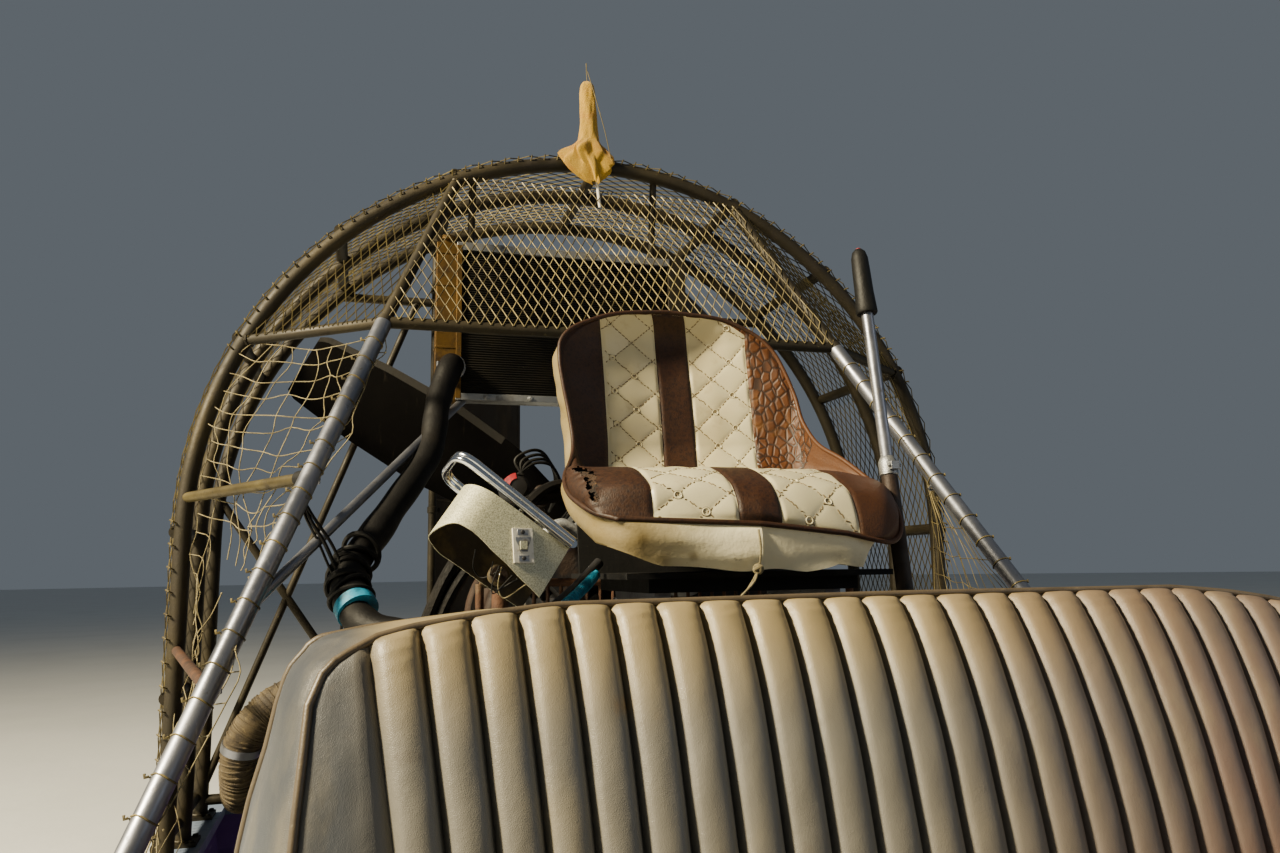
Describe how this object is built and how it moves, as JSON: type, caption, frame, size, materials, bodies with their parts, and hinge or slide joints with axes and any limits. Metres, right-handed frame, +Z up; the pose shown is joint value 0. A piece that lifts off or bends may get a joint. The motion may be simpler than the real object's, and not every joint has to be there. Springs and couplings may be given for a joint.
{
  "type": "airboat",
  "caption": "Flat-bottomed airboat with passenger benches, raised driver's seat, open V engine, mesh-guarded air propeller and twin air rudders",
  "frame": {"origin": "centre of the bounding box's bottom, on the underside of the flat hull", "axes": "+Z up, +Y towards the stern, the bow points towards -Y, +X towards port"},
  "size_m": [2.38, 5.3292, 2.8851],
  "materials": {
    "hull_paint": "worn purple paint",
    "rim_paint": "worn blue-grey paint",
    "plate": "dull",
    "bare_tube": "scuffed, bright",
    "guard_tube": "tarnished yellow-brown",
    "guard_mesh": "tarnished yellow-brown",
    "rusty_rod": "rusty",
    "rusty_pipe": "heat-stained, rusty",
    "engine_iron": "dark, oily",
    "cast_cover": "cast",
    "bench_vinyl": "worn grey-beige vinyl",
    "seat_vinyl": "cream and dark brown quilted vinyl",
    "seat_shell": "dark, matt",
    "black_plastic": "matt",
    "black_rubber": "dull",
    "chrome_bar": "polished",
    "hammered_sheet": "hammered silver paint",
    "radiator_brass": "tarnished",
    "string": "weathered cord",
    "rudder_paint": "weathered dark grey",
    "propeller_paint": "satin black",
    "pennant_cloth": "loose net cloth"
  },
  "bodies": {
    "boat": {"hull": "hull_paint", "bow_deck": "rim_paint", "gunwale": "rim_paint", "floor_boards": "plate", "bow_rail": "bare_tube", "rear_bench_back": "bench_vinyl", "rear_bench_seat": "bench_vinyl", "rear_bench_frame": "plate", "front_bench_back": "bench_vinyl", "front_bench_seat": "bench_vinyl", "front_bench_frame": "plate", "fuel_tank": "black_plastic", "battery": "black_plastic", "driver_stand": "bare_tube", "driver_seat_pan": "seat_shell", "driver_seat_cushion": "seat_vinyl", "driver_seat_back": "seat_vinyl", "engine_guard": "rusty_rod", "steering_cable": "black_rubber", "console_loop": "chrome_bar", "console_box": "hammered_sheet", "engine_block": "engine_iron", "reduction_drive": "cast_cover", "engine_stand": "guard_tube", "cylinder_head_starboard": "cast_cover", "cylinder_head_port": "cast_cover", "exhaust_starboard": "rusty_pipe", "exhaust_port": "rusty_pipe", "intake": "cast_cover", "hoop_front": "guard_tube", "hoop_middle": "guard_tube", "hoop_rear": "guard_tube", "radiator": "radiator_brass", "radiator_hose": "black_rubber", "cage_wall": "guard_mesh", "visor": "guard_mesh", "diagonal_starboard": "bare_tube", "diagonal_port": "bare_tube", "net_starboard": "string", "net_port": "string", "rear_frame": "guard_tube", "pennant_staff": "string", "pennant": "pennant_cloth"},
    "propeller": {"propeller": "propeller_paint"},
    "starboard_rudder": {"rudder_starboard": "rudder_paint"},
    "port_rudder": {"rudder_port": "rudder_paint"},
    "tie_bar": {"rudder_tie_bar": "bare_tube"},
    "stick": {"stick": "bare_tube"}
  },
  "joints": [
    {"name": "propeller_spin", "type": "hinge", "parent": "boat", "child": "propeller", "pos_m": [0, 1.93838, 1.4], "axis": [0, 1, 0], "continuous": true},
    {"name": "rudder_swing", "type": "hinge", "parent": "boat", "child": "starboard_rudder", "pos_m": [-0.46, 2.29338, 1.5], "axis": [0, 0, 1], "range_deg": [0, 90]},
    {"name": "port_rudder_swing", "type": "hinge", "parent": "boat", "child": "port_rudder", "pos_m": [0.46, 2.29338, 1.5], "axis": [0, 0, 1], "range_deg": [0, 90]},
    {"name": "tie_bar_pin", "type": "hinge", "parent": "starboard_rudder", "child": "tie_bar", "pos_m": [-0.35393, 2.39945, 0.646], "axis": [0, 0, 1], "range_deg": [-90, 0]},
    {"name": "stick_tilt", "type": "hinge", "parent": "boat", "child": "stick", "pos_m": [0.3, 0.48138, 0.905], "axis": [1, 0, 0], "range_deg": [0, 30]}
  ],
  "couplings": [
    {"joint": "port_rudder_swing", "follows": "rudder_swing", "ratio": 1},
    {"joint": "tie_bar_pin", "follows": "rudder_swing", "ratio": -1},
    {"joint": "stick_tilt", "follows": "rudder_swing", "ratio": 0.33333}
  ]
}
